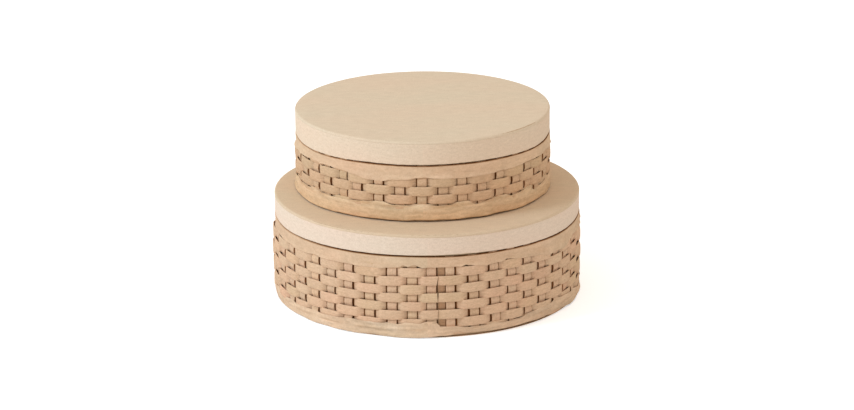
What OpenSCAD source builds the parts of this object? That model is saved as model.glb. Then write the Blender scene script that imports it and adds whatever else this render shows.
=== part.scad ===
// A stacked pair of round lidded boxes in kraft card and paper. Each box is a card tube with a sleeve
// woven from flat paper strips, a paper band over each edge of the sleeve, and a lid of card and paper.
// The origin is the middle of the large box's base, +Z is up and -Y is the front.
// Directions round a box are degrees from the front toward +X.

/* [Large box] */
// Diameter over the large lid
large_lid_d = 304.8; // [285:0.2:325]
// Height of the large box with its lid on
large_h = 104.9; // [95:0.1:120]
// Height of the large lid's rim
large_lid_h = 21.2; // [17:0.1:26]
// Height of the band over the top edge of the large sleeve
large_top_band_h = 11; // [9:0.1:16]
// Height of the band over the bottom edge of the large sleeve
large_bottom_band_h = 11.2; // [8:0.1:16]
// Radius of the large box's rounded lower edge
large_corner_r = 2; // [1.5:0.1:4]
// Bare stake ends above the large box's top weaver
large_head_h = 2.4; // [0.5:0.1:6]
// Bare stake ends below the large box's bottom weaver
large_foot_h = 0.2; // [0.2:0.1:4]
// Number of stakes round the large box
large_stakes = 45; // [39:1:51]
// Number of weavers up the large box
large_rows = 9; // [8:1:10]
// Direction of the large sleeve's seam
large_seam = 4.75; // [-180:0.05:180]
// 0 starts the bottom weaver outside the first stake, 1 inside it
large_start = 0; // [0:1:1]
// Degrees by which the large sleeve's stakes crowd toward the seam
large_drift = 1.4; // [0:0.1:2.5]

/* [Small box] */
// Diameter over the small lid
small_lid_d = 254; // [235:0.2:275]
// Height of the small box with its lid on
small_h = 81.3; // [74:0.1:95]
// Height of the small lid's rim
small_lid_h = 23.4; // [18:0.1:28]
// Height of the band over the top edge of the small sleeve
small_top_band_h = 12.8; // [10:0.1:17]
// Height of the band over the bottom edge of the small sleeve
small_bottom_band_h = 16.6; // [11:0.1:20]
// Radius of the small box's rounded lower edge
small_corner_r = 5; // [2:0.1:6]
// Bare stake ends above the small box's top weaver
small_head_h = 3.9; // [0.5:0.1:9]
// Bare stake ends below the small box's bottom weaver
small_foot_h = 4.5; // [0.2:0.1:7]
// Number of stakes round the small box
small_stakes = 39; // [33:1:43]
// Number of weavers up the small box
small_rows = 5; // [4:1:6]
// Direction of the small sleeve's seam
small_seam = 178.5; // [-180:0.05:180]
// 0 starts the bottom weaver outside the first stake, 1 inside it
small_start = 1; // [0:1:1]
// Degrees by which the small sleeve's stakes crowd toward the seam
small_drift = 0; // [0:0.1:2.5]

/* [Stack] */
// How far the small box stands to the right of the large one's axis
stack_right = -3.8; // [-20:0.1:20]
// How far the small box stands behind the large one's axis
stack_back = 13.6; // [-20:0.1:20]

/* [Card and paper] */
// Thickness of the card in tubes, hoops and discs
card_t = 2.2; // [1.8:0.05:2.6]
// Thickness of the covering paper
paper_t = 0.4; // [0.3:0.05:0.6]
// How far the rim paper is turned up inside a lid
rim_turn_in = 9; // [6:0.1:12]
// How far the bottom band is folded in under the base
base_turn_in = 12; // [8:0.1:20]
// Radius of a lid's rounded top edge
shoulder_r = 1.4; // [0.8:0.1:2]
// Radius of the top band's edge and a lid's lower edge
fold_r = 0.7; // [0.65:0.05:1.2]

/* [Weave] */
// Thickness of a weaver strip
weaver_t = 1; // [0.8:0.05:1.1]
// Thickness of a stake strip
stake_t = 0.9; // [0.7:0.05:1]
// Width of a stake strip
stake_w = 9; // [8:0.1:10]
// How far a weaver bows out over each stake where no band holds it
weaver_bow = 1.5; // [0.8:0.1:2]
// Length of the dive that takes a weaver in behind a stake
weaver_dive = 7; // [5:0.1:8]
// Space between the middles of the two stakes beside the seam
seam_space = 18.3; // [16:0.1:22]
// Space between the two ends of a weaver at the seam
seam_slit = 1.6; // [0.8:0.1:3]
// How far the slit lies to the left of the middle of the seam
slit_left = 3.2; // [0:0.1:3.4]

/* [Fits] */
// Air between a lid's lining and the tube's neck, on the radius
lid_clearance = 0.6; // [0.4:0.05:0.8]
// Air between a lid's lower edge and the top band
rim_clearance = 0.6; // [0.4:0.1:1]
// Air between two layers of the weave
layer_gap = 0.1; // [0.08:0.01:0.15]
// Air between a weaver and the one above it
row_gap = 0.2; // [0.15:0.05:0.4]
// How far past a stake's edge a weaver stays flat
flat_past = 0.5; // [0.4:0.1:1]

/* [Hidden] */
$fn = 180;
arc_steps = 6;
between = 4;

// Kraft card and paper as the photograph shows them
LID_PAPER = [0.85, 0.75, 0.64];
BAND_PAPER = [0.80, 0.67, 0.54];
WEAVER_KRAFT = [0.76, 0.62, 0.50];
STAKE_KRAFT = [0.72, 0.58, 0.45];
CARD = [0.70, 0.58, 0.44];

// Each box is a list of its own sizes, which the functions below read by name
LARGE = [large_lid_d / 2, large_h, large_lid_h, large_top_band_h, large_bottom_band_h, large_corner_r,
         large_head_h, large_foot_h, large_stakes, large_rows, large_seam, large_start, large_drift];
SMALL = [small_lid_d / 2, small_h, small_lid_h, small_top_band_h, small_bottom_band_h, small_corner_r,
         small_head_h, small_foot_h, small_stakes, small_rows, small_seam, small_start, small_drift];
function lid_r(b) = b[0];
function box_h(b) = b[1];
function lid_low(b) = b[1] - b[2];
function top_band_h(b) = b[3];
function bottom_band_h(b) = b[4];
function corner_r(b) = b[5];
function head_h(b) = b[6];
function foot_h(b) = b[7];
function stakes(b) = b[8];
function rows(b) = b[9];
function seam(b) = b[10];
function start(b) = b[11];
function drift(b) = b[12];

// Radii from the lid inward: rim paper, hoop, lining, air, then the tube
function hoop_out_r(b) = lid_r(b) - paper_t;
function hoop_in_r(b) = hoop_out_r(b) - card_t;
function lining_r(b) = hoop_in_r(b) - paper_t;
function tube_r(b) = lining_r(b) - lid_clearance;
function bore_r(b) = tube_r(b) - card_t;

// Radii from the tube outward: a weaver inside, a stake, a weaver outside, then the band
function inner_r(b) = tube_r(b) + layer_gap;
function stake_r(b) = inner_r(b) + weaver_t + layer_gap;
function outer_r(b) = stake_r(b) + stake_t + layer_gap;
function band_in_r(b) = outer_r(b) + weaver_t + layer_gap;
function band_r(b) = band_in_r(b) + paper_t;

// Heights from the base upward
function flap_top() = 2 * paper_t;
function panel_low(b) = box_h(b) - paper_t - card_t;
function band_top(b) = lid_low(b) - rim_clearance;
function stake_low(b) = paper_t + corner_r(b);
function stake_top(b) = band_top(b) - paper_t - layer_gap;
function weave_low(b) = stake_low(b) + foot_h(b);
function row_pitch(b) = (stake_top(b) - head_h(b) - weave_low(b)) / rows(b);
function row_low(b, i) = weave_low(b) + (i - 1) * row_pitch(b) + row_gap / 2;
function row_high(b, i) = row_low(b, i) + row_pitch(b) - row_gap;

// Height that the bottom band's inside gains on its fold at radius r, where the tube may stand
function fold_rise(b, r) =
    let (inside = corner_r(b) - paper_t, past = max(0, r - band_r(b) + corner_r(b)))
    inside - sqrt(max(0, inside * inside - past * past));

// An arc of a profile in the plane of radius and height
function arc(at, r, from, to) =
    [for (s = [0:arc_steps]) let (a = from + (to - from) * s / arc_steps) at + r * [cos(a), sin(a)]];

// How far round the sleeve a thing is, is told in steps: step 0 is the middle of the first stake, and each
// stake is a step on. The two stakes beside the seam stand seam_space apart, the others share the rest of
// the way, and the maker's hand lets them drift from an even share.
function as_angle(length, r) = length / r * 180 / PI;
function seam_half(b) = as_angle(seam_space / 2, stake_r(b));
function stake_step(b) = (360 - 2 * seam_half(b)) / (stakes(b) - 1);
function direction(b, step) =
    seam(b) + seam_half(b) + step * stake_step(b) - drift(b) * sin(360 * step / (stakes(b) - 1));

// 1 where weaver i passes outside stake k, 0 where it passes inside
function side(b, i, k) = (i + min(max(k, 0), stakes(b) - 1) + start(b)) % 2;

// A weaver is flat where it passes a stake. From a stake that it covers it stays out until just before the
// next one, and dives in behind that. A bow is highest over the middle of each stake that it covers.
function flat_share(b) = as_angle(stake_w / 2 + flat_past, stake_r(b)) / stake_step(b);
function dive_share(b) = as_angle(weaver_dive, stake_r(b)) / stake_step(b);
function fall(b, t) = pow(min(1, max(0, (t - 1 + flat_share(b) + dive_share(b)) / dive_share(b))), 2);
function arch(b, t) = 1 - pow(min(1, t / (1 - flat_share(b))), 2);
function covered(b, i, k) = k < 0 || k >= stakes(b) ? 0 : side(b, i, k);
function under_band(b, i) = row_low(b, i) < bottom_band_h(b) || row_high(b, i) > band_top(b) - top_band_h(b);
function weaver_r(b, i, step) =
    let (k = floor(step), t = step - k, here = side(b, i, k), next = side(b, i, k + 1),
         out = here == next ? here : here == 1 ? 1 - fall(b, t) : 1 - fall(b, 1 - t),
         bow = under_band(b, i) ? 0 : weaver_bow)
    inner_r(b) + (outer_r(b) - inner_r(b)) * out
    + bow * (covered(b, i, k) * arch(b, t) + covered(b, i, k + 1) * arch(b, 1 - t));

// Steps at which a weaver has a point, from its first end at the seam to its last
function weaver_steps(b) =
    let (last = stakes(b) - 1, flat = flat_share(b),
         first_end = as_angle((seam_space - seam_slit) / 2 + slit_left, stake_r(b)) / stake_step(b),
         last_end = as_angle((seam_space - seam_slit) / 2 - slit_left, stake_r(b)) / stake_step(b))
    concat([-first_end, -flat],
           [for (k = [0:last - 1], t = concat([0], [for (s = [0:between]) flat + (1 - 2 * flat) * s / between]))
               k + t],
           [last, last + last_end]);

// The point at an angle from the front and a radius
function place(angle, r) = r * [sin(angle), -cos(angle)];

// A ring of revolution from a profile of [radius, height]
module ring(profile) {
    rotate_extrude() polygon(profile);
}

// A straight tube of card
module card_tube(r, low, high) {
    ring([[r - card_t, low], [r, low], [r, high], [r - card_t, high]]);
}

// A disc of paper over the base and the folded end of the bottom band
module base_paper(b) {
    color(BAND_PAPER) cylinder(r = band_r(b) - corner_r(b), h = paper_t);
}

// The card disc that closes the tube's lower end
module base_disc(b) {
    color(CARD) translate([0, 0, flap_top()]) cylinder(r = bore_r(b) - layer_gap, h = card_t);
}

// The tube stands on the folded band and carries the lid on its top edge
module liner_tube(b) {
    color(CARD) card_tube(tube_r(b), flap_top() + fold_rise(b, tube_r(b)), panel_low(b));
}

// Upright strips that the weavers pass in and out of
module stake_ring(b) {
    half = as_angle(stake_w / 2, stake_r(b));
    color(STAKE_KRAFT)
    for (k = [0:stakes(b) - 1])
        rotate(direction(b, k) - 90 - half)
        rotate_extrude(angle = 2 * half)
        translate([stake_r(b), stake_low(b)])
        square([stake_t, stake_top(b) - stake_low(b)]);
}

// One strip of a row, from one side of the seam round to the other
module weaver(b, i) {
    line = [for (step = weaver_steps(b)) [direction(b, step), weaver_r(b, i, step)]];
    last = len(line) - 1;
    color(WEAVER_KRAFT)
    translate([0, 0, row_low(b, i)])
    linear_extrude(row_high(b, i) - row_low(b, i))
    polygon(concat([for (p = line) place(p[0], p[1])],
                   [for (j = [0:last]) place(line[last - j][0], line[last - j][1] + weaver_t)]));
}

// The band over the sleeve's lower edge, rounded at the corner and folded in under the base
module bottom_band(b) {
    corner = [band_r(b) - corner_r(b), paper_t + corner_r(b)];
    flap_r = corner.x - base_turn_in;
    color(BAND_PAPER)
    ring(concat([[flap_r, flap_top()], [flap_r, paper_t]],
                arc(corner, corner_r(b), -90, 0),
                [[band_r(b), bottom_band_h(b)], [band_in_r(b), bottom_band_h(b)]],
                arc(corner, corner_r(b) - paper_t, 0, -90)));
}

// The band over the sleeve's upper edge, turned in to the tube
module top_band(b) {
    top = band_top(b);
    low = top - top_band_h(b);
    corner = [band_r(b) - fold_r, top - fold_r];
    color(BAND_PAPER)
    ring(concat([[band_in_r(b), low], [band_r(b), low]],
                arc(corner, fold_r, 0, 90),
                [[inner_r(b), top], [inner_r(b), top - paper_t]],
                arc(corner, fold_r - paper_t, 90, 0)));
}

// The card hoop of a lid
module lid_hoop(b) {
    color(CARD) card_tube(hoop_out_r(b), lid_low(b) + paper_t, panel_low(b));
}

// The card disc of a lid, with its top edge rubbed round
module lid_panel(b) {
    corner = [lid_r(b) - shoulder_r, box_h(b) - shoulder_r];
    color(CARD)
    ring(concat([[0, panel_low(b)], [hoop_out_r(b), panel_low(b)]],
                arc(corner, shoulder_r - paper_t, 0, 90),
                [[0, box_h(b) - paper_t]]));
}

// Paper round a lid's rim, turned up inside the hoop
module lid_rim_paper(b) {
    low = lid_low(b);
    out_corner = [lid_r(b) - fold_r, low + fold_r];
    in_corner = [lining_r(b) + fold_r, low + fold_r];
    high = panel_low(b) - layer_gap;
    color(LID_PAPER)
    ring(concat(arc(in_corner, fold_r, 180, 270),
                arc(out_corner, fold_r, -90, 0),
                [[lid_r(b), high], [hoop_out_r(b), high], [hoop_out_r(b), low + paper_t]],
                [[hoop_in_r(b), low + paper_t], [hoop_in_r(b), low + rim_turn_in]],
                [[lining_r(b), low + rim_turn_in]]));
}

// Paper over a lid's top, taken down over the edge of the disc
module lid_top_paper(b) {
    corner = [lid_r(b) - shoulder_r, box_h(b) - shoulder_r];
    color(LID_PAPER)
    ring(concat([[0, box_h(b) - paper_t], [0, box_h(b)]],
                arc(corner, shoulder_r, 90, 0),
                [[lid_r(b), panel_low(b)], [hoop_out_r(b), panel_low(b)]],
                arc(corner, shoulder_r - paper_t, 0, 90)));
}

// The small box stands on the large lid
module stacked() {
    translate([stack_right, stack_back, large_h]) children();
}

base_paper(LARGE);  // large_base_paper
base_disc(LARGE);  // large_base_disc
liner_tube(LARGE);  // large_liner_tube
stake_ring(LARGE);  // large_stakes
for (i = [1:large_rows])
    weaver(LARGE, i);
bottom_band(LARGE);  // large_bottom_band
top_band(LARGE);  // large_top_band
lid_hoop(LARGE);  // large_lid_hoop
lid_panel(LARGE);  // large_lid_panel
lid_rim_paper(LARGE);  // large_lid_rim_paper
lid_top_paper(LARGE);  // large_lid_top_paper
stacked() base_paper(SMALL);  // small_base_paper
stacked() base_disc(SMALL);  // small_base_disc
stacked() liner_tube(SMALL);  // small_liner_tube
stacked() stake_ring(SMALL);  // small_stakes
for (i = [1:small_rows])
    stacked() weaver(SMALL, i);
stacked() bottom_band(SMALL);  // small_bottom_band
stacked() top_band(SMALL);  // small_top_band
stacked() lid_hoop(SMALL);  // small_lid_hoop
stacked() lid_panel(SMALL);  // small_lid_panel
stacked() lid_rim_paper(SMALL);  // small_lid_rim_paper
stacked() lid_top_paper(SMALL);  // small_lid_top_paper
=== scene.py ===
# %% [markdown]
# # Two round boxes of kraft card, with sides woven from paper strips
# The object is a pair of lidded boxes, the small one stood on the large one. The construction comes as a
# fixed frame of plain parts in metres. Everything below dresses that frame: it never moves it. The frame is
# loaded first, because every size in this lesson is read from it.

# %% load the frame
import math
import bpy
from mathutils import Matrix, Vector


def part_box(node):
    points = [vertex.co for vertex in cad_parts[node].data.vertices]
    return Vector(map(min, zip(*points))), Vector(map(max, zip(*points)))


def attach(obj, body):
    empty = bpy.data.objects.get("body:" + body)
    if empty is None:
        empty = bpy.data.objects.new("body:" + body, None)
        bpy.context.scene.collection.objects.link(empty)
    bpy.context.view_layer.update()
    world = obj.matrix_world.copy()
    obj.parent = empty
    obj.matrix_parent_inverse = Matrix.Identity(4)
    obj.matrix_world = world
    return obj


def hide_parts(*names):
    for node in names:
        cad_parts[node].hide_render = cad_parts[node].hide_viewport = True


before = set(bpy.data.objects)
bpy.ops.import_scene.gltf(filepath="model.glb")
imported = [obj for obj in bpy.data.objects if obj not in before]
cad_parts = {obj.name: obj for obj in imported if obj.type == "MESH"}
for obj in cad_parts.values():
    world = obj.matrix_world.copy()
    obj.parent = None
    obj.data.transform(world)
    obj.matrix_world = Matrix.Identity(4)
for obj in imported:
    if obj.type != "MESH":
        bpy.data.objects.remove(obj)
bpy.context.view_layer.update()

from types import SimpleNamespace

import bmesh
import bpy
import numpy as np
from mathutils import Matrix, Vector, noise

MM = 0.001
print("nodes in the frame:", len(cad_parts))

# %% [markdown]
# ## The camera
# The photograph was taken from far away with a long lens, a little above the lids. An ellipse fitted to each
# lid's edge gives the height of the view, and the size of the lids gives the distance. A long lens matters
# here: with a short one the small box would look larger against the large one. The photograph also leans by
# half a degree, so the camera is rolled a little.

# %% camera
VIEW_DOWN = math.radians(18.0)
CAMERA_ROLL = math.radians(-0.46)
AIM = Vector((0, 0, 85.8)) * MM
DISTANCE = 3242.5 * MM
SENSOR_WIDTH = 36.0
PHOTO_WIDTH = 854
FOCAL_PIXELS = 3236

camera_data = bpy.data.cameras.new("camera")
camera_data.sensor_fit = "HORIZONTAL"
camera_data.sensor_width = SENSOR_WIDTH
camera_data.lens = FOCAL_PIXELS / PHOTO_WIDTH * SENSOR_WIDTH
camera_data.clip_end = 50
camera = bpy.data.objects.new("camera", camera_data)
camera.location = AIM + DISTANCE * Vector((0, -math.cos(VIEW_DOWN), math.sin(VIEW_DOWN)))
turn = Matrix.Rotation(math.pi / 2 - VIEW_DOWN, 3, "X") @ Matrix.Rotation(CAMERA_ROLL, 3, "Z")
camera.rotation_euler = turn.to_euler()
bpy.context.scene.collection.objects.link(camera)
bpy.context.scene.camera = camera
print("lens", round(camera_data.lens, 2), "mm")

# %% [markdown]
# ## The studio
# The boxes stand on white under a broad soft light from the upper left, with a white room all round that
# fills the shadows. The floor is white paper. To the camera it also glows a little, so that it meets the
# white background without a line, and still shows the soft shadow under the boxes.

# %% world and lamps
scene = bpy.context.scene
scene.view_settings.view_transform = "Standard"
ROOM_LIGHT = 0.80
KEY_WATTS = 30


def white_world():
    world = bpy.data.worlds.new("white_room")
    world.use_nodes = True
    nodes, links = world.node_tree.nodes, world.node_tree.links
    nodes.clear()
    room = nodes.new("ShaderNodeBackground")
    room.inputs["Color"].default_value = (1.0, 0.95, 0.88, 1)
    room.inputs["Strength"].default_value = ROOM_LIGHT
    seen = nodes.new("ShaderNodeBackground")
    seen.inputs["Color"].default_value = (1, 1, 1, 1)
    seen.inputs["Strength"].default_value = 1.0
    path = nodes.new("ShaderNodeLightPath")
    mix = nodes.new("ShaderNodeMixShader")
    out = nodes.new("ShaderNodeOutputWorld")
    white = path.outputs["Is Camera Ray"]
    for ray in ("Is Glossy Ray", "Is Transmission Ray"):
        either = nodes.new("ShaderNodeMath")
        either.operation = "MAXIMUM"
        links.new(white, either.inputs[0])
        links.new(path.outputs[ray], either.inputs[1])
        white = either.outputs[0]
    links.new(white, mix.inputs["Fac"])
    links.new(room.outputs[0], mix.inputs[1])
    links.new(seen.outputs[0], mix.inputs[2])
    links.new(mix.outputs[0], out.inputs["Surface"])
    scene.world = world


def soft_lamp(name, at, size, watts, colour):
    data = bpy.data.lights.new(name, "AREA")
    data.shape = "DISK"
    data.size = size
    data.energy = watts
    data.color = colour
    lamp = bpy.data.objects.new(name, data)
    lamp.location = at
    lamp.rotation_euler = (Vector((0, 0, 0.09)) - Vector(at)).to_track_quat("-Z", "Y").to_euler()
    scene.collection.objects.link(lamp)
    return lamp


white_world()
soft_lamp("key", (-2.2, -1.0, 1.7), 1.0, KEY_WATTS, (0.84, 1.05, 1.26))

# %% floor
FLOOR_WHITE = 0.92
FLOOR_GLOW = 0.45
TOUCHING = 0.3 * MM


def white_floor():
    material = bpy.data.materials.new("white_floor")
    material.use_nodes = True
    nodes, links = material.node_tree.nodes, material.node_tree.links
    nodes.clear()
    matt = nodes.new("ShaderNodeBsdfDiffuse")
    matt.inputs["Color"].default_value = (FLOOR_WHITE, FLOOR_WHITE, FLOOR_WHITE, 1)
    glow = nodes.new("ShaderNodeEmission")
    glow.inputs["Color"].default_value = (1, 1, 1, 1)
    path = nodes.new("ShaderNodeLightPath")
    level = nodes.new("ShaderNodeMath")
    level.operation = "MULTIPLY"
    level.inputs[1].default_value = FLOOR_GLOW
    both = nodes.new("ShaderNodeAddShader")
    out = nodes.new("ShaderNodeOutputMaterial")
    links.new(path.outputs["Is Camera Ray"], level.inputs[0])
    links.new(level.outputs[0], glow.inputs["Strength"])
    links.new(matt.outputs[0], both.inputs[0])
    links.new(glow.outputs[0], both.inputs[1])
    # The floor is one-sided, and lets light through to what lies flat on it, so that the undersides show from below
    side = nodes.new("ShaderNodeNewGeometry")
    flat_on = nodes.new("ShaderNodeMath")
    flat_on.operation = "LESS_THAN"
    flat_on.inputs[1].default_value = TOUCHING
    open_here = nodes.new("ShaderNodeMath")
    open_here.operation = "MAXIMUM"
    clear = nodes.new("ShaderNodeBsdfTransparent")
    either = nodes.new("ShaderNodeMixShader")
    links.new(path.outputs["Ray Length"], flat_on.inputs[0])
    links.new(side.outputs["Backfacing"], open_here.inputs[0])
    links.new(flat_on.outputs[0], open_here.inputs[1])
    links.new(open_here.outputs[0], either.inputs["Fac"])
    links.new(both.outputs[0], either.inputs[1])
    links.new(clear.outputs[0], either.inputs[2])
    links.new(either.outputs[0], out.inputs["Surface"])
    half = 6.0
    mesh = bpy.data.meshes.new("floor")
    low = -0.1 * MM
    mesh.from_pydata([(-half, -half, low), (half, -half, low), (half, half, low), (-half, half, low)], [], [(0, 1, 2, 3)])
    mesh.materials.append(material)
    floor = bpy.data.objects.new("floor", mesh)
    scene.collection.objects.link(floor)


white_floor()
print("floor laid")

# %% [markdown]
# ## Kraft paper
# All the surfaces are unbleached paper. It is matt, its colour drifts a little over a hand's breadth, small
# clouds of fibre show at a few millimetres, and fine fibres run the way the strip was cut. Three layers of
# noise make that, stretched along the paper's own grain. The grain follows a UV map measured in metres, so
# that it bends round a strip with it. A colour attribute called tint carries what differs from strip to
# strip, such as a pinker strip, and painted shade: the paper is painted darker where it dives behind another,
# under a lid and under a fold, and some edges get painted light.

# %% paper material
def multiply(tree, colour, factor):
    """A node that multiplies one colour output by another."""
    node = tree.nodes.new("ShaderNodeMix")
    node.data_type = "RGBA"
    node.blend_type = "MULTIPLY"
    node.inputs["Factor"].default_value = 1.0
    tree.links.new(colour, node.inputs["A"])
    tree.links.new(factor, node.inputs["B"])
    return node.outputs["Result"]


def paper_noise(tree, place, per_metre, detail, low, high, roughness=0.55):
    """Noise of a given scale in metres, turned into a grey or tinted factor between two colours."""
    stretch = tree.nodes.new("ShaderNodeMapping")
    stretch.inputs["Scale"].default_value = per_metre
    cloud = tree.nodes.new("ShaderNodeTexNoise")
    cloud.inputs["Scale"].default_value = 1.0
    cloud.inputs["Detail"].default_value = detail
    cloud.inputs["Roughness"].default_value = roughness
    ramp = tree.nodes.new("ShaderNodeValToRGB")
    ramp.color_ramp.elements[0].position = 0.3
    ramp.color_ramp.elements[0].color = (*low, 1)
    ramp.color_ramp.elements[1].position = 0.7
    ramp.color_ramp.elements[1].color = (*high, 1)
    tree.links.new(place, stretch.inputs["Vector"])
    tree.links.new(stretch.outputs[0], cloud.inputs["Vector"])
    tree.links.new(cloud.outputs["Fac"], ramp.inputs["Fac"])
    return ramp.outputs["Color"], cloud.outputs["Fac"]


def from_srgb(red, green, blue):
    """A colour written as 0 to 255, in the linear values that a shader takes."""
    return tuple((c / 255 / 12.92) if c / 255 <= 0.04045 else ((c / 255 + 0.055) / 1.055) ** 2.4
                 for c in (red, green, blue))


def kraft(name, colour, grain=(90, 900, 900), clouds=160, drift=9, fibre=0.05, cloud=0.05, wander=0.04,
          bump=0.35, roughness=0.88, specks=False):
    """Kraft paper of a colour. grain is in waves to the metre, along and across the strip."""
    material = bpy.data.materials.new(name)
    material.use_nodes = True
    tree = material.node_tree
    shader = tree.nodes["Principled BSDF"]
    shader.inputs["Roughness"].default_value = roughness
    shader.inputs["Specular IOR Level"].default_value = 0.03
    place = tree.nodes.new("ShaderNodeUVMap")
    place.uv_map = "grain"
    place = place.outputs[0]
    base = tree.nodes.new("ShaderNodeRGB")
    base.outputs[0].default_value = (*colour, 1)
    tint = tree.nodes.new("ShaderNodeAttribute")
    tint.attribute_name = "tint"
    fibres, fibre_height = paper_noise(tree, place, grain, 3, (1 - fibre,) * 3, (1 + fibre,) * 3)
    cloudy, cloud_height = paper_noise(tree, place, (clouds, clouds * 1.6, clouds), 4,
                                       (1 - cloud, 1 - 1.25 * cloud, 1 - 1.6 * cloud), (1 + cloud,) * 3)
    drifting, _ = paper_noise(tree, place, (drift, drift * 2.5, drift), 2,
                              (1 + wander, 1 - 0.6 * wander, 1 - wander), (1 - 0.6 * wander, 1 + 0.2 * wander, 1))
    flecks, _ = paper_noise(tree, place, (700, 700, 700), 1, (0.95, 0.935, 0.905), (1.045, 1.045, 1.045))
    result = multiply(tree, base.outputs[0], tint.outputs["Color"])
    for layer in (fibres, cloudy, drifting, flecks):
        result = multiply(tree, result, layer)
    if specks:
        result = multiply(tree, result, speck_layer(tree, place))
    tree.links.new(result, shader.inputs["Base Color"])
    raised = tree.nodes.new("ShaderNodeBump")
    raised.inputs["Strength"].default_value = bump
    raised.inputs["Distance"].default_value = 0.12 * MM
    both = tree.nodes.new("ShaderNodeMath")
    both.operation = "ADD"
    tree.links.new(fibre_height, both.inputs[0])
    tree.links.new(cloud_height, both.inputs[1])
    tree.links.new(both.outputs[0], raised.inputs["Height"])
    tree.links.new(raised.outputs[0], shader.inputs["Normal"])
    return material


def speck_layer(tree, place):
    """A few dark flecks of bark or ink in the pulp, about a millimetre across."""
    stretch = tree.nodes.new("ShaderNodeMapping")
    stretch.inputs["Scale"].default_value = (38, 52, 38)
    cells = tree.nodes.new("ShaderNodeTexVoronoi")
    cells.feature = "F1"
    ramp = tree.nodes.new("ShaderNodeValToRGB")
    ramp.color_ramp.elements[0].position = 0.035
    ramp.color_ramp.elements[0].color = (0.72, 0.66, 0.6, 1)
    ramp.color_ramp.elements[1].position = 0.06
    ramp.color_ramp.elements[1].color = (1, 1, 1, 1)
    tree.links.new(place, stretch.inputs["Vector"])
    tree.links.new(stretch.outputs[0], cells.inputs["Vector"])
    tree.links.new(cells.outputs["Distance"], ramp.inputs["Fac"])
    return ramp.outputs["Color"]


WEAVER = kraft("weaver_strip", from_srgb(206, 174, 141), grain=(140, 620, 620), clouds=330, fibre=0.08, cloud=0.08)
STAKE = kraft("stake_strip", from_srgb(204, 172, 140), grain=(620, 140, 620), clouds=330, fibre=0.08, cloud=0.08)
TOP_BAND = kraft("top_band_paper", from_srgb(212, 181, 149), grain=(90, 420, 420), clouds=260, cloud=0.06, fibre=0.05)
BOTTOM_BAND = kraft("bottom_band_paper", from_srgb(219, 190, 158), grain=(25, 420, 420), clouds=260, fibre=0.08,
                    cloud=0.08)
LID_TOP = kraft("lid_top_paper", from_srgb(223, 203, 176), grain=(70, 260, 260), clouds=90, drift=6, fibre=0.03,
                cloud=0.025, wander=0.025, specks=True)
LID_RIM = kraft("lid_rim_paper", from_srgb(231, 209, 187), grain=(160, 500, 500), clouds=240, fibre=0.035,
                cloud=0.04, wander=0.025, specks=True)
print("papers:", [m.name for m in bpy.data.materials])

# %% [markdown]
# ## Sizes read from the frame
# Each box is described once, by a short list of facts that can't be read from a bounding box, such as how
# many stakes it has and where its weavers meet. The rest is measured on the frame's own parts. Directions
# run from the front toward the right, in degrees, because that is how one would count them round a basket.

# %% measure the boxes
LAYER_GAP = 0.1 * MM
WEAVER_THICK = 1.0 * MM
STAKE_THICK = 0.9 * MM
STAKE_WIDE = 9.0 * MM
SEAM_SPACE = 18.3 * MM
SEAM_SLIT = 0.8 * MM
SLIT_LEFT = 3.2 * MM
DIVE = 8.0 * MM
# How wide the painted shade is in the notch beside a covering stake.
NOTCH_SHADE_WIDE = {"large": 1.8 * MM, "small": 1.2 * MM}
BOW = {"large": 1.8 * MM, "small": 1.4 * MM}
FLAT_PAST = 0.0 * MM
# Painted shade is browner as well as darker: each channel of a painted shade factor is raised to these powers.
PAINTED_SHADE_HUE = np.array([0.85, 1.2, 1.6])
HUE = {
    "large": {"weave": (1.12, 1.13, 1.22), "top_band": (1.04, 1.05, 1.1), "bottom_band": (1.02, 1.04, 1.13),
              "rim": (1.0, 1.01, 1.05), "lid": (0.95, 0.91, 0.89)},
    "small": {"weave": (1.03, 1.02, 1.04), "top_band": (1.05, 1.06, 1.1), "bottom_band": (1.0, 1.0, 1.0),
              "rim": (0.97, 0.965, 0.95), "lid": (1.0, 1.0, 1.035)}}
STAKE_OFF = {
    "large": [(0, 0), (1, 1.0), (2, 1.5), (3, 1.1), (4, 0.4), (5, 0), (6, 0.9), (7, 0.3), (8, 0), (36, 0), (37, -0.5),
              (38, -0.6), (39, -0.6), (40, -0.5), (41, 0.4), (42, 1.2), (43, 0.9), (44, 0.2)],
    "small": [(12, 0), (13, 0.8), (14, 0), (15, 0.6), (16, -1.2), (17, 0), (18, 0.5), (19, 1.0), (20, 1.1), (21, 0.6),
              (22, 0.9), (23, 0.7), (24, 1.1), (25, 0.2), (26, -1.0), (27, 0)]}
STAKE_LEAN = {
    "large": [(0, 0.3), (1, 0.9), (2, 1.2), (3, 0.8), (4, 0.7), (5, 0.6), (7, 0), (37, 0), (38, -0.9), (39, -0.6), (41, 0)],
    "small": [(20, 0), (21, 0.5), (22, 0), (23, -0.5), (24, 0)]}
ROW_SAG = {
    "large": [(-80, -1.0), (-55, -2.2), (-45, -1.8), (-20, -1.7), (-11, -0.9), (-4, -0.4), (0, 0), (15, 0), (30, 0.8),
              (38, 0.2), (46, -0.5), (55, -1.2), (80, -0.5)],
    "small": [(-80, 0), (-60, -0.9), (-46, -0.5), (-38, 0), (80, 0)]}

# Where the painted shade in the weave's gaps and on the stakes' edges is eased: 0 at the front and back, 1 at the
# sides, where that painted shade is lighter.
SHADE_EASED_AT_SIDES = [(-115, 0), (-88, 1), (-60, 1), (-42, 0), (42, 0), (60, 1), (88, 1), (115, 0)]


def degrees_of(length, radius):
    return math.degrees(length / radius)


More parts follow.
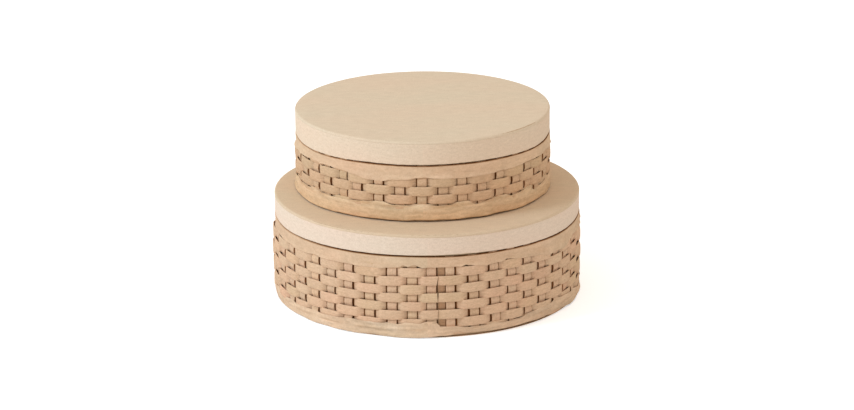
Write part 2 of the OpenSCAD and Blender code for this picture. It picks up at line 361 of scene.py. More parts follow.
def describe(size, stakes, rows, seam, start, drift):
    """One box: what is counted, and what the frame's parts measure."""
    box = SimpleNamespace(size=size, stakes=stakes, rows=rows, seam=seam, start=start, drift=drift)
    low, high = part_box(f"{size}_liner_tube")
    box.x, box.y = (low.x + high.x) / 2, (low.y + high.y) / 2
    box.tube_r = (high.x - low.x) / 2
    box.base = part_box(f"{size}_base_paper")[0].z
    box.base_r = (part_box(f"{size}_base_paper")[1].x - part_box(f"{size}_base_paper")[0].x) / 2
    low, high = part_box(f"{size}_lid_rim_paper")
    box.lid_low, box.rim_high, box.lid_r = low.z, high.z, (high.x - low.x) / 2
    box.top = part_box(f"{size}_lid_top_paper")[1].z
    low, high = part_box(f"{size}_top_band")
    box.band_low, box.band_high, box.band_r = low.z, high.z, (high.x - low.x) / 2
    low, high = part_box(f"{size}_bottom_band")
    box.fold_low, box.fold_high = low.z, high.z
    low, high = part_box(f"{size}_stakes")
    box.stake_low, box.stake_high = low.z, high.z
    spans = [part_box(f"{size}_weaver_{i}") for i in range(1, rows + 1)]
    box.row_z = [(a.z + b.z) / 2 for a, b in spans]
    box.pitch = (box.row_z[-1] - box.row_z[0]) / (rows - 1)
    box.inner_r = box.tube_r + LAYER_GAP
    box.stake_r = box.inner_r + WEAVER_THICK + LAYER_GAP
    box.outer_r = box.stake_r + STAKE_THICK + LAYER_GAP
    box.seam_half = degrees_of(SEAM_SPACE / 2, box.stake_r)
    box.step = (360 - 2 * box.seam_half) / (stakes - 1)
    box.flat = degrees_of(STAKE_WIDE / 2 + FLAT_PAST, box.stake_r) / box.step
    box.dive = degrees_of(DIVE, box.stake_r) / box.step
    return box


LARGE = describe("large", stakes=45, rows=9, seam=4.75, start=0, drift=1.4)
SMALL = describe("small", stakes=39, rows=5, seam=178.5, start=1, drift=0.0)
for box in (LARGE, SMALL):
    print(box.size, "row pitch", round(box.pitch / MM, 2), "mm, stakes every", round(box.step, 2), "degrees")

# %% [markdown]
# ## Meshes from rows of points
# A woven strip, a band and a rim are all the same kind of thing: one outline carried along a path. So one
# helper joins rows of points into a closed skin. Writing the points with numpy keeps the shape of each piece
# in a formula, where a modifier stack would hide it.

# %% mesh helper
SHARP = math.radians(50)


def skin(name, points, uv, tint, material, closed_path, body, node, slot, level=False):
    """A mesh from points[path, outline, xyz]. The outline is always closed; the path may be."""
    count, around = points.shape[:2]
    index = np.arange(count * around).reshape(count, around)
    ahead = np.roll(index, -1, axis=0) if closed_path else index[1:]
    here = index if closed_path else index[:-1]
    quads = np.stack([here, np.roll(here, -1, axis=1), np.roll(ahead, -1, axis=1), ahead], axis=-1).reshape(-1, 4)
    faces = quads.tolist()
    if not closed_path:
        faces.append(index[0][::-1].tolist())
        faces.append(index[-1].tolist())
    mesh = bpy.data.meshes.new(name)
    mesh.from_pydata(points.reshape(-1, 3).tolist(), [], faces)
    corners = np.zeros(len(mesh.loops), dtype=np.int32)
    mesh.loops.foreach_get("vertex_index", corners)
    layer = mesh.uv_layers.new(name="grain")
    flat_uv = uv.reshape(-1, 2)
    corner_uv = flat_uv[corners]
    if closed_path and not level:
        # The faces that close the ring need the far end's length, not the first point's
        last = np.isin(np.arange(len(corners)) // 4, np.arange((count - 1) * around, count * around))
        wraps = last & (corners < around)
        corner_uv[wraps, 0] += flat_uv[(count - 1) * around, 0] + flat_uv[around, 0] - 2 * flat_uv[0, 0]
    layer.data.foreach_set("uv", corner_uv.ravel())
    colours = mesh.color_attributes.new("tint", "FLOAT_COLOR", "POINT")
    rgba = np.ones((count * around, 4))
    rgba[:, :3] = tint.reshape(-1, 3)
    colours.data.foreach_set("color", rgba.ravel())
    if level:
        # The points on the axis are one point
        whole = bmesh.new()
        whole.from_mesh(mesh)
        bmesh.ops.remove_doubles(whole, verts=whole.verts, dist=1e-7)
        whole.to_mesh(mesh)
        whole.free()
    mesh.polygons.foreach_set("use_smooth", np.ones(len(mesh.polygons), dtype=bool))
    mesh.set_sharp_from_angle(angle=SHARP)
    mesh.materials.append(material)
    mesh.validate()
    piece = bpy.data.objects.new(name, mesh)
    scene.collection.objects.link(piece)
    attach(piece, body)
    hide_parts(node)
    return piece


def around(box, angle, radius, height):
    """Points at an angle from the front, a radius from the box's axis and a height."""
    turn = np.radians(angle)
    return np.stack([box.x + radius * np.sin(turn), box.y - radius * np.cos(turn),
                     np.broadcast_to(height, np.broadcast(turn, radius).shape)], axis=-1)


def waver(angle, waves, size, rng):
    """A smooth hand-made unevenness round a ring: a few sine waves of random phase and strength."""
    turn = np.radians(angle)
    total = np.zeros_like(turn, dtype=float)
    for wave in waves:
        total += rng.uniform(0.4, 1.0) * np.sin(wave * turn + rng.uniform(0, 2 * np.pi))
    return size * total / math.sqrt(len(waves))


print("helpers ready")

# %% [markdown]
# ## The woven sleeve
# Upright stakes stand round the card tube, and flat weavers pass outside one stake and inside the next. A
# weaver lies flat on a stake, bulges a little over the middle, and dives in steeply just before the stake
# that covers it. Where it lies outside it is also at its widest, because there its neighbours above and
# below are inside and leave it room. The wave comes from a formula, the same one as in the construction, and
# each float gets its own small error of height, width and colour, as a hand leaves it.

# %% path of a weaver
SAMPLES = (0.0, 0.12, 0.2, 0.225, 0.245, 0.262, 0.28, 0.3, 0.34, 0.4, 0.46, 0.54, 0.6, 0.66, 0.7, 0.72, 0.738, 0.755,
           0.775, 0.8, 0.88)


def listed(places, at):
    """A value read between the places of a short list."""
    return np.interp(at, [a for a, _ in places], [value for _, value in places])


def direction(box, step, z=None):
    """Degrees from the front at a step: step 0 is the first stake right of the seam. The stakes of a hand-made
    box stand a little off their even places, and some lean."""
    step = np.asarray(step)
    share = step / (box.stakes - 1)
    even = box.seam + box.seam_half + step * box.step - box.drift * np.sin(2 * np.pi * share)
    off = listed(STAKE_OFF[box.size], step)
    if z is not None:
        middle = (box.row_z[0] + box.row_z[-1]) / 2
        off = off - listed(STAKE_LEAN[box.size], step) * (np.asarray(z) - middle) / (box.row_z[-1] - box.row_z[0])
    return even + off


def sag(box, angle):
    """How far the rows lie above or below their even height, as they wander round the box."""
    return listed(ROW_SAG[box.size], (np.asarray(angle) + 180) % 360 - 180) * MM


def belly(box, angle, z):
    """How far the sleeve stands off the tube: the large one is slack on its left."""
    if box.size == "small":
        return 0 * angle * z
    up = np.clip((z - box.row_z[0]) / (box.row_z[-1] - box.row_z[0]), 0, 1)
    turn = (np.asarray(angle) + 180) % 360 - 180
    return listed([(-130, 0), (-95, 1.7), (-75, 1.2), (-55, 0)], turn) * MM * np.sin(np.pi * up) ** 0.6


def side(box, row, stake):
    """1 where a row's weaver is outside a stake and 0 where it is inside."""
    return (row + np.clip(stake, 0, box.stakes - 1) + box.start) % 2


def is_bare(box, row):
    """Whether a row shows between the two bands."""
    z = box.row_z[row - 1]
    return box.fold_high < z < box.band_low


def weaver_path(box, row, rng):
    """Steps along a weaver, and at each one how far out it is, its bow, how far the nearest covered stake is,
    and how far it has come out of the notch beside the stake that covers it, which sets the painted shade there."""
    last = box.stakes - 1
    slit = (SEAM_SLIT + rng.uniform(-0.4, 0.5) * MM) / 2
    first_end = degrees_of(SEAM_SPACE / 2 + SLIT_LEFT - slit, box.stake_r) / box.step
    last_end = degrees_of(SEAM_SPACE / 2 - SLIT_LEFT - slit, box.stake_r) / box.step
    body = [k + t for k in range(last) for t in SAMPLES]
    step = np.array([-first_end, -0.7 * first_end, -box.flat - 0.04, -box.flat, -box.flat / 2] + body
                    + [last, last + 0.5 * last_end, last + last_end])
    k = np.floor(step).astype(int)
    t = step - k
    here, after = side(box, row, k), side(box, row, k + 1)

    def fall(share):
        down = np.clip((share - 1 + box.flat + box.dive) / box.dive, 0, 1)
        return down ** 2 * (3 - 2 * down)

    def arch(share):
        return 1 - np.clip(share / (1 - box.flat), 0, 1) ** 3

    out = np.where(here == after, here, np.where(here == 1, 1 - fall(t), 1 - fall(1 - t)))
    covers_here = (here == 1) & (k >= 0)
    covers_after = (after == 1) & (k < last)
    bow = np.where(covers_here, arch(t), 0) + np.where(covers_after, arch(1 - t), 0)
    far = np.minimum(np.where(covers_here, t, 1), np.where(covers_after, 1 - t, 1))
    inside = np.where(here == 0, t, 1 - t) - box.flat
    notch = np.where(here == after, here, np.clip(inside * np.radians(box.step) * box.stake_r / NOTCH_SHADE_WIDE[box.size], 0, 1))
    return step, out, bow, far, notch


print("points on a large weaver:", len(weaver_path(LARGE, 4, np.random.default_rng(0))[0]))

# %% weavers
ACROSS = np.array([-1.0, -0.93, -0.6, 0.0, 0.6, 0.93, 1.0, 1.0, 0.0, -1.0])
IS_OUTER = np.array([1, 1, 1, 1, 1, 1, 1, 0, 0, 0])
EDGE_DROP = np.array([0.32, 0.09, 0.0, 0.0, 0.0, 0.09, 0.32, 0.0, 0.0, 0.0]) * MM
# Painted light and shade across a weaver: its lower outer edge painted darker, its upper outer edge and its inner faces
# painted lighter.
EDGE_LIT = np.array([0.94, 1.0, 1.0, 1.0, 1.0, 1.0, 1.06, 1.25, 1.0, 1.15])
SWELL = 0.38 * MM
PINK, OLIVE = np.array([1.025, 0.985, 0.99]), np.array([0.985, 0.995, 0.96])


def float_colours(count, rng):
    """A colour for each float: most are plain kraft, a few pinker or more olive."""
    base = 1 + rng.normal(0, 0.025, (count, 1)) * np.array([[1.0, 1.05, 1.1]])
    kind = rng.uniform(0, 1, (count, 1))
    return base * np.where(kind < 0.1, PINK, np.where(kind > 0.86, OLIVE, 1.0))


def weave_strip(box, row):
    rng = np.random.default_rng(1000 * box.stakes + row)
    step, out, bow, far, notch = weaver_path(box, row, rng)
    bare = is_bare(box, row)
    stakes = np.arange(-1, box.stakes + 1)

    def by_float(values):
        return np.interp(step, stakes, values)

    count = len(stakes)
    rise = by_float(rng.normal(0, 0.2 * MM, count))
    wider = by_float(rng.normal(0, 0.12 * MM, count))
    bulge = BOW[box.size] * by_float(rng.uniform(0.7, 1.2, count)) if bare else 0.0
    swell = SWELL if bare else 0.0
    half = box.pitch / 2 - 0.06 * MM + (swell + wider) * (1 - 0.5 * far ** 3)
    crown = 0.17 * MM * out
    middle = direction(box, step, box.row_z[row - 1])
    radius = box.inner_r + (box.outer_r - box.inner_r) * out + bulge * bow + belly(box, middle, box.row_z[row - 1])
    outer = radius + WEAVER_THICK
    across = ACROSS[None, :]
    r = np.where(IS_OUTER[None, :] == 1, outer[:, None], radius[:, None])
    r = r - np.where(IS_OUTER[None, :] == 1, EDGE_DROP[None, :] + crown[:, None] * across ** 2, 0.0)
    r = np.maximum(r, radius[:, None])
    z = box.row_z[row - 1] + (rise + sag(box, middle))[:, None] + across * half[:, None]
    angle = middle[:, None] * np.ones_like(across)
    for end in (0, -1):
        angle[end] += degrees_of(rng.normal(0, 0.3 * MM), box.outer_r) * ACROSS
    along = np.radians(angle) * box.outer_r
    uv = np.stack([along + row * 3.1, across * half[:, None] + row * 0.37 + 0 * along], axis=-1)
    colour = np.stack([by_float(c) for c in float_colours(count, rng).T], axis=-1) * HUE[box.size]["weave"]
    # Painted shade in the notch beside each covering stake: darkest at the stake's edge, lighter toward the sides of
    # the box, and held light at the seam's start.
    clear = np.clip((notch - 0.4) / 0.6, 0, 1)
    darkest_notch_shade = 0.14 if box.size == "large" else 0.2
    darkest_notch_shade = darkest_notch_shade + (0.42 - darkest_notch_shade) * listed(SHADE_EASED_AT_SIDES, (middle + 180) % 360 - 180)
    painted_notch_shade = darkest_notch_shade + (1 - darkest_notch_shade) * clear ** 2 * (3 - 2 * clear)
    painted_notch_shade = np.where(step < -box.flat - 0.02, np.maximum(painted_notch_shade, 0.74), painted_notch_shade)
    # Painted shade, 3 % at most, toward the ends of each float, where it turns in.
    float_end_shade = 1 - 0.03 * np.clip((far - 0.45) / 0.25, 0, 1)
    tint = (colour * painted_notch_shade[:, None] ** PAINTED_SHADE_HUE * float_end_shade[:, None])[:, None, :] * np.ones((1, len(ACROSS), 1))
    # Painted light and shade on the weaver's edges and inner faces.
    tint *= EDGE_LIT[None, :, None]
    return skin(f"{box.size}_weaver_strip_{row}", around(box, angle, r, z), uv, tint, WEAVER, False,
                f"{box.size}_box", f"{box.size}_weaver_{row}", "weaver_strip")


for box in (LARGE, SMALL):
    strips = [weave_strip(box, row) for row in range(1, box.rows + 1)]
    print(box.size, "weavers:", len(strips), "points on one:", len(strips[0].data.vertices))

# %% [markdown]
# ## The stakes
# Each stake is pressed in where a weaver crosses outside it and springs out in the window between, so its
# face is gently quilted. All the stakes of a box make one piece, as they do in the frame.

# %% stakes
STAKE_ACROSS = np.array([-1.0, -0.99, -0.9, -0.4, 0.0, 0.4, 0.9, 0.99, 1.0, 1.0, 0.0, -1.0])
STAKE_OUTER = np.array([1, 1, 1, 1, 1, 1, 1, 1, 1, 0, 0, 0])
STAKE_EDGE = np.array([0.45, 0.25, 0.06, 0.0, 0.0, 0.0, 0.06, 0.25, 0.45, 0.0, 0.0, 0.0]) * MM
# Painted shade on a stake's outline points: its rounded edges and its inner face are painted darker.
STAKE_LIT = np.array([0.28, 0.9, 1.0, 1.0, 1.0, 1.0, 1.0, 0.9, 0.28, 0.16, 0.16, 0.16])
SPRING = 1.1 * MM


def stake_strip(box, stake, rng):
    """One stake's points, its UVs and its tint, as rows up the stake."""
    low, high = box.stake_low, box.stake_high
    z = np.linspace(low, high, 10 * box.rows + 1)
    row = (z - box.row_z[0]) / box.pitch + 1
    nearest = np.clip(np.round(row), 1, box.rows).astype(int)
    shown = 1 - side(box, nearest, stake)
    window = np.clip(1 - (2 * np.abs(row - nearest)) ** 2, 0, 1)
    spring = SPRING * window * shown
    half = STAKE_WIDE / 2 + rng.normal(0, 0.12 * MM) + 0.1 * MM * np.sin(z / box.pitch * 0.7 + rng.uniform(0, 6))
    lean = degrees_of(rng.normal(0, 0.25 * MM), box.stake_r) * (z - low) / (high - low)
    middle = direction(box, stake, z) + lean
    across = STAKE_ACROSS[None, :]
    angle = middle[:, None] + np.degrees(across * half[:, None] / box.stake_r)
    outer = box.stake_r + STAKE_THICK + spring
    r = np.where(STAKE_OUTER[None, :] == 1, outer[:, None] - STAKE_EDGE[None, :], box.stake_r)
    r = r + belly(box, angle, z[:, None])
    # Stakes are painted a little darker outside the windows where they show, as painted shade under the weavers.
    colour = float_colours(1, rng)[0] * HUE[box.size]["weave"] * (0.98 + 0.02 * window * shown)[:, None]
    # The painted shade on the stakes' edges is eased toward the sides of the box.
    shade_ease = listed(SHADE_EASED_AT_SIDES, (middle + 180) % 360 - 180)
    lit = np.maximum(STAKE_LIT[None, :], 0.42 * shade_ease[:, None])
    tint = colour[:, None, :] * lit[..., None] ** PAINTED_SHADE_HUE
    uv = np.stack([across * half[:, None] + stake * 0.31, z[:, None] + stake * 1.7 + 0 * across], axis=-1)
    return around(box, angle, r, z[:, None] + sag(box, angle)), uv, tint


def stake_set(box):
    rng = np.random.default_rng(77 + box.stakes)
    parts = [skin(f"{box.size}_stake_part_{k}", *stake_strip(box, k, rng), STAKE, False,
                  f"{box.size}_box", f"{box.size}_stakes", "stake_strip") for k in range(box.stakes)]
    joined = bpy.data.meshes.new(f"{box.size}_stake_strips")
    whole = bmesh.new()
    for part in parts:
        whole.from_mesh(part.data)
    whole.to_mesh(joined)
    whole.free()
    joined.materials.append(STAKE)
    for part in parts:
        mesh = part.data
        bpy.data.objects.remove(part)
        bpy.data.meshes.remove(mesh)
    piece = bpy.data.objects.new(f"{box.size}_stake_strips", joined)
    scene.collection.objects.link(piece)
    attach(piece, f"{box.size}_box")
    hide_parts(f"{box.size}_stakes")
    return piece


for box in (LARGE, SMALL):
    print(box.size, "stakes:", len(stake_set(box).data.polygons), "faces")

# %% [markdown]
# ## Rings of paper
# The bands and the lids' papers are rings: one profile of radius and height carried round the axis. Paper
# that was wetted with glue and rubbed down by hand is never quite true, so the profile may change a little
# on its way round. A function gets the angles and returns the radius and height of every point.

# %% ring helper
RING_STEPS = 720


def arc(at, radius, begin, end, count=6):
    turn = np.radians(np.linspace(begin, end, count))
    return [(at[0] + radius * math.cos(a), at[1] + radius * math.sin(a)) for a in turn]


def ring(box, name, profile, shape, material, body, node, slot, shade=None, level=False):
    """A ring from a closed profile. shape(angle, r, z) may push the points about. The paper's grain runs
    round the ring, or for a level sheet straight across it."""
    outline = np.array(profile)
    angle = np.linspace(0, 360, RING_STEPS, endpoint=False)[:, None] * np.ones((1, len(outline)))
    r = np.ones_like(angle) * outline[None, :, 0]
    z = np.ones_like(angle) * outline[None, :, 1]
    length = np.concatenate([[0], np.cumsum(np.hypot(*np.diff(outline, axis=0).T))])
    uv = np.stack([np.radians(angle) * outline[:, 0].max(), length[None, :] + 0 * angle], axis=-1)
    if level:
        out = np.minimum(length, 2 * outline[:, 0].max() + length.max() - length)[None, :]
        uv = np.stack([out * np.sin(np.radians(angle)), out * np.cos(np.radians(angle))], axis=-1)
    r, z = shape(angle, r, z)
    tint = np.ones((*angle.shape, 3)) if shade is None else shade(angle, r, z)
    return skin(name, around(box, angle, r, z), uv, tint, material, True, body, node, slot, level)


def lump(angle, z, box, per_metre, squeeze, seed):
    """Smooth noise on the side of a box, -1 to 1; squeeze above 1 flattens it into level streaks."""
    turn = np.radians(angle)
    spots = np.stack([box.tube_r * np.sin(turn) * per_metre, -box.tube_r * np.cos(turn) * per_metre,
                      z * per_metre * squeeze + seed * 17.3], axis=-1).reshape(-1, 3)
    return np.array([noise.noise(Vector(p)) for p in spots]).reshape(np.shape(angle))


print("ring steps:", RING_STEPS)

# %% [markdown]
# ## The bands
# A strip of paper is glued over each raw edge of the sleeve. It was put on wet, so it takes the shape of the
# weave under it, and where it laps over a float that bows it is pushed out. Its cut edge wanders by a few
# millimetres. The wander round the front was read off the photograph, as a short list of places; the
# back has waves of the same size.

# %% what a band lies over
PAPER = 0.4 * MM
FOLD = 0.7 * MM
TOP_EDGE = {
    "large": [(-80, 0), (-70, -0.8), (-58, -2.2), (-45, -1.8), (-35, -2), (-28, -2.4), (-16, -2), (-11, -0.5),
              (-9, 1.8), (-7, 0.8), (-4.5, 2.4), (-2, 0), (5, 0), (12, 0.2), (14, 1.4), (17, 0.3), (22, -1.6),
              (28, 0.2), (30, 1.8), (33, 0.6), (38, -1.6), (44, -2.6), (50, -6), (60, -7), (66, -2), (80, 0)],
    "small": [(-75, 0), (-62, 1.4), (-47, 1.8), (-38, 1), (-30, -0.8), (-25, -4), (-18.5, -4.4), (-15, -2.5),
              (-8, -1.4), (-3, 0.5), (3, 0.5), (8, -0.5), (17, -1.5), (28, -1), (33, -0.6), (39, -0.2), (50, 0.6),
              (60, 0.8), (75, 0)]}
BOTTOM_EDGE = {
    "large": [(-80, 0), (-70, 1), (-60, 1.2), (-50, 1.6), (-45, 1.2), (-35, 2.2), (-28, 3.2), (-15, 3.4), (-11, 2.6),
              (-8, 5.4), (-3, 4), (-1, 5.8), (2.6, 5.8), (4.5, 0.6), (10, -0.4), (15, -1.4), (21, -2), (25, -0.4),
              (31, -2.2), (37, 0), (45, 2.6), (53, 4), (60, 4.5), (70, 3), (80, 0)],
    "small": [(-75, 0), (-62, -0.3), (-55, 0.8), (-45, -0.8), (-36, -0.2), (-27, 2), (-18, 3.2), (-14, 1), (-7, 0.6),
              (0, 1.6), (5, 0.2), (12, 0.4), (15, 2.4), (20, 3), (23.5, -1.6), (25, -2), (30, 1), (34, 2), (39, 2.2),
              (43, -0.6), (47, 0.6), (52, 1.6), (57, -1), (60, -4.5), (64, -3), (75, 0)]}


BASE_LIFT = {
    "large": [(-80, 0.2), (-60, -0.3), (-10, -0.3), (0, 0.4), (10, 1.4), (20, 1.8), (30, 1.8), (45, 1.6), (60, 0.8),
              (80, 0.2)],
    "small": [(-80, 0), (-45, 0.1), (-30, 0.3), (-20, 0.9), (-15, 0.4), (-8, 0.5), (-4, 1.0), (14, 0.8), (20, 1.1),
              (29, 0.3), (36, 1.0), (45, 0.1), (55, 0.7), (65, 0.1), (80, 0)]}
LID_EDGE = {
    "large": [(-80, -0.6), (-60, -1.0), (-45, -0.5), (-12, 0.3), (0, 0.5), (15, 0.7), (30, 0), (60, -1.0), (80, -0.6)],
    "small": [(-80, -1.0), (-60, -1.8), (-40, -1.0), (-25, 0.2), (-10, 0), (20, 0.3), (30, 0.2), (42, -0.5), (60, -1.7),
              (80, -1.0)]}


def edge_line(places, angle, rng, fray=0.28):
    """How far an edge is off its line: the listed places round the front, and waves everywhere."""
    turn = (np.asarray(angle) + 180) % 360 - 180
    behind = np.clip((np.abs(turn) - 70) / 15, 0, 1)
    return (listed(places, turn) * MM * (1 - behind) + waver(angle, (3, 7, 12, 19), 4 * fray * MM, rng) * behind
            + waver(angle, (31, 47, 71, 113), fray * MM, rng))


def cover(box, row, angle):
    """Radius of the sleeve's face along a row, rounded off as paper bridges a hollow."""
    step, out, bow, _, _ = weaver_path(box, row, np.random.default_rng(0))
    face = box.inner_r + WEAVER_THICK + (box.outer_r - box.inner_r) * out
    face = face + (BOW[box.size] * bow if is_bare(box, row) else 0)
    face = np.maximum(face, box.stake_r + STAKE_THICK)
    turn = np.arange(0, 360, 0.5)
    line = np.interp(turn, direction(box, step, box.row_z[row - 1]), face, period=360)
    reach = int(round(degrees_of(3.5 * MM, box.outer_r) / 0.5))
    shifts = range(-reach, reach + 1)
    high = np.max([np.roll(line, k) for k in shifts], axis=0)
    soft = np.maximum(np.mean([np.roll(high, k) for k in shifts], axis=0), line)
    return np.interp(angle, turn, soft, period=360)


def lid_edge(box, angle):
    """How far the lid's lower edge is off its line; the band under it follows."""
    return edge_line(LID_EDGE[box.size], angle, np.random.default_rng(5 + box.stakes), 0.1)


def press(box, rows, angle, z):
    """How far the weave pushes a band out of its true round, and lets it sink over a hollow."""
    push, sink, share = np.zeros_like(z), np.zeros_like(z), np.full_like(z, 1e-6)
    for row in rows:
        apart = np.abs(z - sag(box, angle) - box.row_z[row - 1])
        near = np.clip((0.85 * box.pitch - apart) / (0.3 * box.pitch), 0, 1)
        over = cover(box, row, angle) + 0.15 * MM - (box.band_r - PAPER)
        push = np.maximum(push, near * np.maximum(over, 0))
        sink += near * np.minimum(over, 0)
        share += near
    return push + 0.3 * sink / np.maximum(share, 1)


print("large edge at the front:", round(float(edge_line(TOP_EDGE["large"], 0.0, np.random.default_rng(1))) / MM, 2), "mm")

# %% top bands
def top_band(box):
    rng = np.random.default_rng(31 + box.stakes)
    r, low, high = box.band_r, box.band_low, box.band_high
    bend = 1.3 * MM
    face = [(r, z) for z in np.linspace(low + 0.25 * MM, high - bend, 14)]
    profile = ([(r - PAPER, low), (r - 0.12 * MM, low)] + face
               + arc((r - bend, high - bend), bend, 12, 90, 6) + [(box.tube_r + LAYER_GAP, high)]
               + [(box.tube_r + LAYER_GAP, high - PAPER), (r - bend, high - PAPER)]
               + arc((r - bend, high - bend), bend - PAPER, 75, 0, 4)
               + [(r - PAPER, z) for z in np.linspace(high - 2 * bend, low + 1 * MM, 8)])
    rows = [i for i in range(box.rows - 2, box.rows + 1)]

    def shape(angle, radius, z):
        fade = np.clip((high - z) / (high - low), 0, 1)
        z = z + edge_line(TOP_EDGE[box.size], angle, rng) * fade ** 1.3
        gap = 0.5 + 0.35 * np.clip(waver(angle, (2, 5, 9, 14), 1.0, rng), -0.6, 1.3)
        drop = (gap * MM - np.minimum(lid_edge(box, angle), 0)) * (1 - fade) ** 2
        push = 0.3 * MM * lump(angle, z, box, 45, 1.0, 1) + 0.24 * MM * lump(angle, z, box, 140, 1.8, 2)
        crease = 0.42 * MM * (0.3 - np.abs(lump(angle, z, box, 30, 4.0, 21)) * 1.5)
        weave = press(box, rows, angle, z)
        on_face = radius > box.outer_r
        return radius + np.where(on_face, (push + crease) * (0.4 + fade) + weave, 0), z - drop

    def shade(angle, radius, z):
        streak = 1 + 0.06 * lump(angle, z, box, 35, 3.0, 5) + 0.06 * lump(angle, z, box, 120, 2.0, 15)
        # Painted shade on the band's turned-in top edge under the lid, weaker on the left, where the lamp falls.
        shade_under_lid = np.zeros_like(z)
        shade_under_lid[:, 17:] = np.clip((np.arange(z.shape[1] - 17) + 1) / 3, 0, 1)
        shade_under_lid *= np.clip(((angle + 180) % 360 - 112) / 35, 0.2, 1)
        worn = np.clip(lump(angle, z, box, 28, 2.5, 36) - 0.1, 0, 1)
        paper = streak[..., None] + worn[..., None] * np.array([0.13, 0.17, 0.22])
        return paper * (1 - 0.75 * shade_under_lid[..., None]) ** PAINTED_SHADE_HUE * HUE[box.size]["top_band"]

    return ring(box, f"{box.size}_top_band_paper", profile, shape, TOP_BAND, f"{box.size}_box",
                f"{box.size}_top_band", "band_paper", shade)


for box in (LARGE, SMALL):
    print(top_band(box).name)

# %% [markdown]
# The bottom band turns under the base. Its fold is a crisp one, and the folded layers hold it a little off
# whatever the box stands on, which draws a thin dark line under the box; the underside of the fold is also
# painted darker, as painted shade. It is the most handled piece, with level creases, pleats at the fold and
# lighter worn places.

# %% bottom bands
TURN_IN = 12 * MM


def bottom_band(box):
    rng = np.random.default_rng(53 + box.stakes)
    r, low, high = box.band_r, box.fold_low, box.fold_high
    lift = 0.25 * MM
    corner = 1.5 * MM
    at = (r - corner, low + lift + corner)
    face = [(r, z) for z in np.linspace(at[1], high - 0.25 * MM, 18)[1:]]
    inner = r - corner - TURN_IN
    profile = ([(inner, low + PAPER), (inner, low), (inner + TURN_IN / 2, low + 0.1 * lift)]
               + arc(at, corner, -90, 0, 8) + face + [(r - 0.12 * MM, high), (r - PAPER, high)]
               + [(r - PAPER, z) for z in np.linspace(high - 1 * MM, at[1], 6)]
               + arc(at, corner - PAPER, -15, -90, 4) + [(inner + TURN_IN / 2, low + PAPER + 0.1 * lift)])
    rows = [1, 2, 3]

    def shape(angle, radius, z):
        up = np.clip((z - low - lift) / (high - low - lift), 0, 1)
        z = z + edge_line(BOTTOM_EDGE[box.size], angle, rng) * up ** 1.6
        crease = 0.3 - np.abs(lump(angle, z, box, 26, 6.0, 3)) * 1.6
        push = 0.8 * MM * crease + 0.4 * MM * lump(angle, z, box, 110, 3.0, 4)
        weave = press(box, rows, angle, z)
        pleat = (2.4 * MM * lump(angle, 0 * z, box, 24, 1.0, 9)
                 + 1.6 * MM * (0.25 - np.abs(lump(angle, 0 * z, box, 42, 1.0, 42)))) * (1 - up) ** 2
        turn = (angle + 180) % 360 - 180
        off = np.interp(turn, [a for a, _ in BASE_LIFT[box.size]], [mm for _, mm in BASE_LIFT[box.size]]) * MM
        wave = (0.5 if box.size == "large" else 0.2) * MM
        crinkle = 0.5 * MM * np.clip(lump(angle, 0 * z, box, 110, 1.0, 41), 0, 1)
        raised = (off + wave * np.clip(waver(angle, (5, 11, 19, 31), 1.0, rng), -0.5, 1.5) + crinkle) * (1 - up) ** 3
        raised = np.maximum(raised, -0.35 * MM)
        on_face = radius > r - corner - 0.2 * MM
        tuck = (0.8 * MM - 0.9 * off) * (1 - up) ** 3
        return (radius + np.where(on_face, push * (0.3 + 0.7 * up) + pleat + weave + tuck, 0),
                z + np.where(on_face, raised, 0))

    def shade(angle, radius, z):
        streak = lump(angle, z, box, 18, 9.0, 6)
        worn = np.clip(lump(angle, z, box, 32, 2.5, 16) - 0.1, 0, 1)
        tone = 1 + 0.12 * streak - 0.4 * np.clip(streak - 0.2, 0, 1) + 0.12 * lump(angle, z, box, 130, 3.0, 26)
        up = np.clip((z - low) / (high - low), 0, 1)
        worn = worn * (0.5 + up)
        paper = tone[..., None] * np.array([1.0, 0.985, 0.96]) + worn[..., None] * np.array([0.26, 0.35, 0.47])
        if box.size == "small":
            # The small box's band is browner near its fold
            paper = paper * (1 - np.clip(0.7 - up, 0, 1)[..., None] * np.array([0.06, 0.13, 0.22]))
        # Painted shade on the underside of the fold and its lower corner, where the band turns under the box.
        shade_under_fold = np.ones_like(z)
        shade_under_fold[:, :7] = np.array([0.2, 0.2, 0.2, 0.3, 0.6, 0.85, 1.0])
        return paper * shade_under_fold[..., None] ** (PAINTED_SHADE_HUE * 1.15) * HUE[box.size]["bottom_band"]

    return ring(box, f"{box.size}_bottom_band_paper", profile, shape, BOTTOM_BAND, f"{box.size}_box",
                f"{box.size}_bottom_band", "band_paper", shade)


for box in (LARGE, SMALL):
    print(bottom_band(box).name)

# %% [markdown]
# ## The lids
# A lid is a card disc on a card hoop. One paper covers the top and comes down over the edge of the disc, and
# a strip goes round the rim and is turned up inside. The step between the two papers shows as a fine line
# just under the shoulder.

# %% lid papers
SHOULDER = 2.0 * MM
LINING_UP = 9 * MM
RIM_LAP = {"large": -15.5, "small": 140.0}
CARD_THICK = 2.2 * MM


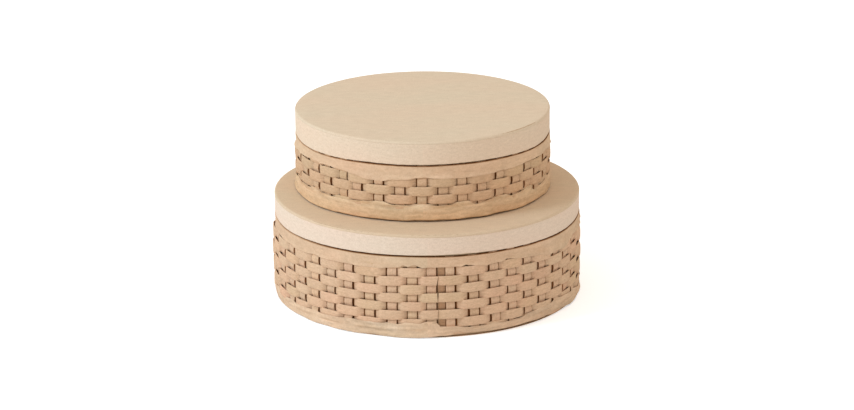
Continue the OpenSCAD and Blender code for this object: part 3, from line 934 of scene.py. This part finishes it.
def lid_top(box):
    rng = np.random.default_rng(71 + box.stakes)
    r, high, low = box.lid_r, box.top, box.top - PAPER - CARD_THICK
    flat = [(x, high) for x in np.linspace(0, r - SHOULDER, 24)]
    profile = (flat + arc((r - SHOULDER, high - SHOULDER), SHOULDER, 82, 0, 9)
               + [(r, low + 0.2 * MM), (r - 0.12 * MM, low), (r - PAPER, low), (r - PAPER, low + 1 * MM)]
               + [(x, high - PAPER) for x in np.linspace(r - SHOULDER, 0, 3)])

    def shape(angle, radius, z):
        near_edge = np.clip((radius - 0.6 * r) / (0.4 * r), 0, 1)
        sag = waver(angle, (2, 3, 5, 8), 0.12 * MM, rng) * near_edge
        wide = 0.06 * MM * lump(angle, z, box, 40, 1.0, 11)
        return radius + np.where(radius > 0.9 * r, wide, 0), z + sag - 0.15 * MM

    def shade(angle, radius, z):
        return np.ones((*z.shape, 3)) * HUE[box.size]["lid"]

    return ring(box, f"{box.size}_lid_top_sheet", profile, shape, LID_TOP, f"{box.size}_lid",
                f"{box.size}_lid_top_paper", "lid_paper", shade, level=True)


def lid_rim(box):
    rng = np.random.default_rng(91 + box.stakes)
    r, low, high = box.lid_r - 0.12 * MM, box.lid_low, box.rim_high
    inner = r - 2 * PAPER - CARD_THICK + 0.12 * MM
    face = [(r, z) for z in np.linspace(low + FOLD, high - 0.2 * MM, 12)]
    profile = ([(inner, low + LINING_UP), (inner, low + FOLD)] + arc((inner + FOLD, low + FOLD), FOLD, 195, 270, 4)
               + arc((r - FOLD, low + FOLD), FOLD, -90, -15, 4) + face
               + [(r - 0.12 * MM, high), (r - PAPER, high), (r - PAPER, low + PAPER + 0.3 * MM)]
               + [(inner + PAPER, low + PAPER + 0.3 * MM), (inner + PAPER, low + LINING_UP)])

    def shape(angle, radius, z):
        low_share = np.clip((high - z) / (high - low), 0, 1)
        edge = lid_edge(box, angle)
        push = 0.14 * MM * lump(angle, z, box, 30, 0.6, 12) + 0.05 * MM * lump(angle, z, box, 120, 1.0, 13)
        past = (angle - RIM_LAP[box.size]) % 360
        lap = 0.25 * MM * np.clip(1 - past / 12, 0, 1)
        on_face = radius > r - 0.3 * MM
        return radius + np.where(on_face, push + lap - 0.1 * MM, 0), z + edge * low_share ** 2

    def shade(angle, radius, z):
        return np.ones((*z.shape, 3)) * HUE[box.size]["rim"]

    return ring(box, f"{box.size}_lid_rim_strip", profile, shape, LID_RIM, f"{box.size}_lid",
                f"{box.size}_lid_rim_paper", "lid_paper", shade)


for box in (LARGE, SMALL):
    print(lid_top(box).name, lid_rim(box).name)

# %% [markdown]
# ## The card inside
# The tubes, discs and hoops keep their plain shapes from the frame, because card is flat and true. They get
# the card's own look. They have no UV map, so this paper takes its grain from the object's own place.

# %% card parts
def plain_card(name, colour):
    material = kraft(name, colour, grain=(260, 260, 500), clouds=200, fibre=0.04)
    tree = material.node_tree
    where = tree.nodes.new("ShaderNodeTexCoord")
    for link in list(tree.links):
        if link.from_node.type == "UVMAP":
            tree.links.new(where.outputs["Object"], link.to_socket)
    for node in [n for n in tree.nodes if n.type in ("UVMAP", "ATTRIBUTE")]:
        tree.nodes.remove(node)
    for node in tree.nodes:
        if node.type == "MIX" and not node.inputs["B"].is_linked:
            node.inputs["B"].default_value = (1, 1, 1, 1)
    return material


INSIDE_CARD = plain_card("kraft_card", from_srgb(193, 166, 136))
BASE_PAPER = plain_card("base_sheet", from_srgb(205, 174, 142))
for name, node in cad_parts.items():
    part = name.split("_", 1)[1]
    if part in ("liner_tube", "base_disc", "lid_hoop", "lid_panel", "base_paper"):
        node.data.materials.clear()
        node.data.materials.append(BASE_PAPER if part == "base_paper" else INSIDE_CARD)
print("card parts dressed")
